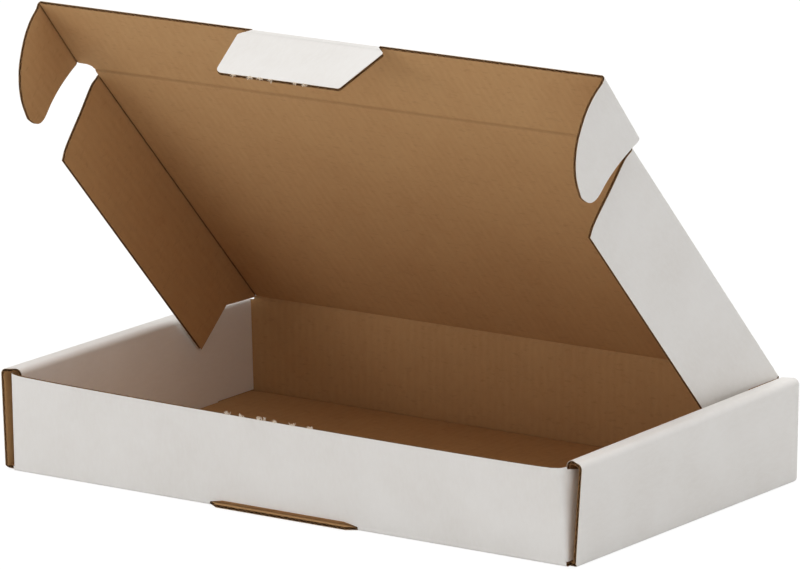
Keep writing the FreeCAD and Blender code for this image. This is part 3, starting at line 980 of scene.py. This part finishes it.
def make_lock_tab():
    """The lock tab and the strip that it folds on."""
    make_row_fold("lock_tab_fold", ("front_flap", "lock_tab"), TAB_NECK_HALF, tab_fold, flap_away,
                  flap_inward, tab_away, TAB_ROW, 0.3, TAB_SHIFT, widening=TAB_WIDENING)
    row = TAB_ROW
    neck = TAB_NECK_HALF + TAB_WIDENING
    right = [(neck, row + FOLD_HALF), (TAB_HALF, row + TAB_SHOULDER), (TAB_END_HALF, row + TAB_LENGTH)]
    corners = mirrored(right)
    outline = [corners[0]]
    for before, corner, after, radius in zip(corners, corners[1:], corners[2:], (1.2, 1.0, 3.6, 1.2)):
        outline += round_corner(before, corner, after, radius)
    outline.append(corners[-1])
    tab = board("lock_tab_panel", [outline], place_tab, (), (), step=6)
    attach(tab, "lock_tab")
    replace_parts(tab, "lock_tab")


# Torn nicks: where the blank was torn from its waste, fibres stand out of the edge
def tuft(place, edge, x, width, count, length, seed):
    """A small bunch of torn fibres on an edge of the blank."""
    draw = random.Random(seed)
    points = []
    faces = []
    flat = []
    for _ in range(count):
        root = x + draw.uniform(-0.5, 0.5) * width
        depth = draw.uniform(-HALF, 0.1)
        lean = draw.uniform(-0.8, 0.8)
        rise = length * draw.uniform(0.35, 1.0)
        droop = draw.uniform(-0.5, 0.7) * rise
        thick = draw.uniform(0.12, 0.4)
        spine = [(0, -0.25, 0), (0.3, 0.45, 0.2), (1.0, 1.0, 1.0)]
        rings = []
        for along, up, fall in spine:
            centre = (root + lean * along, edge[0] + edge[1] * rise * up, depth - droop * fall)
            size = thick * (1.05 - 0.8 * along)
            ring = []
            for turn in range(4):
                angle = math.pi / 2 * turn
                p = (centre[0] + size * math.cos(angle), centre[1],
                     centre[2] + 0.45 * size * math.sin(angle))
                points.append(place(*p) * MM)
                flat.append(tuple(c * MM for c in p))
                ring.append(len(points) - 1)
            rings.append(ring)
        for lower, upper in zip(rings, rings[1:]):
            for k in range(4):
                faces.append((lower[k], lower[(k + 1) % 4], upper[(k + 1) % 4], upper[k]))
        faces.append(tuple(reversed(rings[0])))
        faces.append(tuple(rings[-1]))
    return points, faces, flat


def make_nicks(name, place, edge, nicks, seed):
    """Tufts along an edge. edge is its row and the way it faces; nicks are (x, width, size)."""
    points = []
    faces = []
    flat = []
    for number, (x, width, size) in enumerate(nicks):
        made = tuft(place, edge, x, width, int(5 + 5 * width), size, seed + number)
        faces += [tuple(i + len(points) for i in face) for face in made[1]]
        points += made[0]
        flat += made[2]
    mesh = bpy.data.meshes.new(name)
    mesh.from_pydata(points, [], faces)
    mesh.materials.append(torn_fibre)
    attribute = mesh.attributes.new("blank", "FLOAT_VECTOR", "POINT")
    attribute.data.foreach_set("vector", [c for p in flat for c in p])
    mesh.validate()
    piece = bpy.data.objects.new(name, mesh)
    bpy.context.scene.collection.objects.link(piece)
    return piece


WALL_NICKS = (
    (-21.6, 1.8, 1.5), (-14.8, 1.8, 1.2), (-5.6, 4.0, 1.5),
    (0.8, 1.8, 1.2), (9.2, 1.8, 1.2), (17.3, 2.0, 1.1),
)
TAB_NICKS = (
    (-20.0, 1.6, 1.2), (-12.0, 2.0, 1.4), (-7.6, 2.0, 1.2),
    (-3.0, 2.0, 1.2), (8.5, 1.8, 1.0), (13.0, 1.8, 1.0),
)

floor_and_sides = make_floor_and_sides()
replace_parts(floor_and_sides, "tray")
make_front_wall()
make_back_wall()
make_lid()
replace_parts(bpy.data.objects["lid_panel"], "lid")
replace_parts(make_front_flap(), "front_flap")
make_ear(-1, "left_ear")
make_ear(1, "right_ear")
make_side_flap(-1, "left_side_flap")
make_side_flap(1, "right_side_flap")
make_lock_tab()

wall_nicks = make_nicks("front_wall_nicks", place_front, (-front_rise, -1), WALL_NICKS, 11)
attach(wall_nicks, "tray")
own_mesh(wall_nicks)
tab_nicks = make_nicks("lock_tab_nicks", place_tab, (TAB_ROW + TAB_LENGTH, 1), TAB_NICKS, 31)
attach(tab_nicks, "lock_tab")


# Floor, light and camera
PICTURE_WIDTH = 800
FOCAL_PIXELS = 7953.6
CENTRE_PIXELS = 1.3
GROUND_HALF = 4.0


def seen_directly(tree):
    """1 where the camera sees the stage, straight or in or through the object, 0 for its light."""
    path = node(tree, "ShaderNodeLightPath")
    seen = math_node(tree, "MAXIMUM", path.outputs["Is Camera Ray"], path.outputs["Is Glossy Ray"])
    return math_node(tree, "MAXIMUM", seen, path.outputs["Is Transmission Ray"])


def make_ground():
    mesh = bpy.data.meshes.new("ground")
    corners = [(x * GROUND_HALF, y * GROUND_HALF, 0) for x, y in ((-1, -1), (1, -1), (1, 1), (-1, 1))]
    mesh.from_pydata(corners, [], [(0, 1, 2, 3)])
    ground = bpy.data.objects.new("ground", mesh)
    bpy.context.scene.collection.objects.link(ground)
    ground.location.z = -0.00005
    material = bpy.data.materials.new("ground")
    material.use_nodes = True
    tree = material.node_tree
    tree.nodes.clear()
    paper = node(tree, "ShaderNodeBsdfDiffuse", {"Color": (0.8, 0.8, 0.8, 1)})
    shadow = node(tree, "ShaderNodeBsdfDiffuse", {"Color": (0.16, 0.16, 0.16, 1)})
    glow = node(tree, "ShaderNodeEmission", {"Color": (1, 1, 1, 1), "Strength": 0.9})
    bright = node(tree, "ShaderNodeAddShader", {0: shadow.outputs[0], 1: glow.outputs[0]})
    both = node(tree, "ShaderNodeMixShader", {
        0: seen_directly(tree), 1: paper.outputs[0], 2: bright.outputs[0],
    })
    node(tree, "ShaderNodeOutputMaterial", {"Surface": both.outputs[0]})
    mesh.materials.append(material)


def make_world():
    world = bpy.data.worlds.new("studio")
    bpy.context.scene.world = world
    world.use_nodes = True
    tree = world.node_tree
    tree.nodes.clear()
    direction = node(tree, "ShaderNodeTexCoord")
    parts = node(tree, "ShaderNodeSeparateXYZ", {"Vector": direction.outputs["Generated"]})
    strength = ramp(tree, parts.outputs["Z"], 0.7, 0.9, 0.325, 2.0)
    dome = node(tree, "ShaderNodeBackground", {"Color": (1, 1, 1, 1), "Strength": strength})
    white = node(tree, "ShaderNodeBackground", {"Color": (1, 1, 1, 1), "Strength": 1.0})
    both = node(tree, "ShaderNodeMixShader", {
        0: seen_directly(tree), 1: dome.outputs[0], 2: white.outputs[0],
    })
    node(tree, "ShaderNodeOutputWorld", {"Surface": both.outputs[0]})


def make_lamp(name, place, target, width, height, power):
    """A soft box at place, in metres, that faces target."""
    light = bpy.data.lights.new(name, "AREA")
    light.shape = "RECTANGLE"
    light.size = width
    light.size_y = height
    light.energy = power
    lamp = bpy.data.objects.new(name, light)
    bpy.context.scene.collection.objects.link(lamp)
    lamp.location = place
    aim = Vector(target) - Vector(place)
    lamp.rotation_mode = "QUATERNION"
    lamp.rotation_quaternion = aim.to_track_quat("-Z", "Y")


def make_camera():
    right = Vector((0.81614, 0.57777, -0.00955))
    up = Vector((-0.12482, 0.19241, 0.97334))
    forward = Vector((-0.56421, 0.79319, -0.22915))
    data = bpy.data.cameras.new("camera")
    data.sensor_width = 36.0
    data.lens = FOCAL_PIXELS / PICTURE_WIDTH * data.sensor_width
    data.shift_y = CENTRE_PIXELS / PICTURE_WIDTH
    data.clip_end = 50
    camera = bpy.data.objects.new("camera", data)
    bpy.context.scene.collection.objects.link(camera)
    turn = Matrix((right, up, -forward)).transposed()
    camera.matrix_world = Matrix.Translation((1.71407, -2.40848, 0.77045)) @ turn.to_4x4()
    bpy.context.scene.camera = camera


make_ground()
make_world()
make_lamp("left", (-1.4, -2.2, 0.4), (0, 0, 0.06), 1.6, 0.7, 10.5)
make_lamp("right", (2.5, -0.6, 0.4), (0, 0, 0.06), 1.6, 0.7, 4.5)
make_camera()
bpy.context.scene.view_settings.view_transform = "Standard"
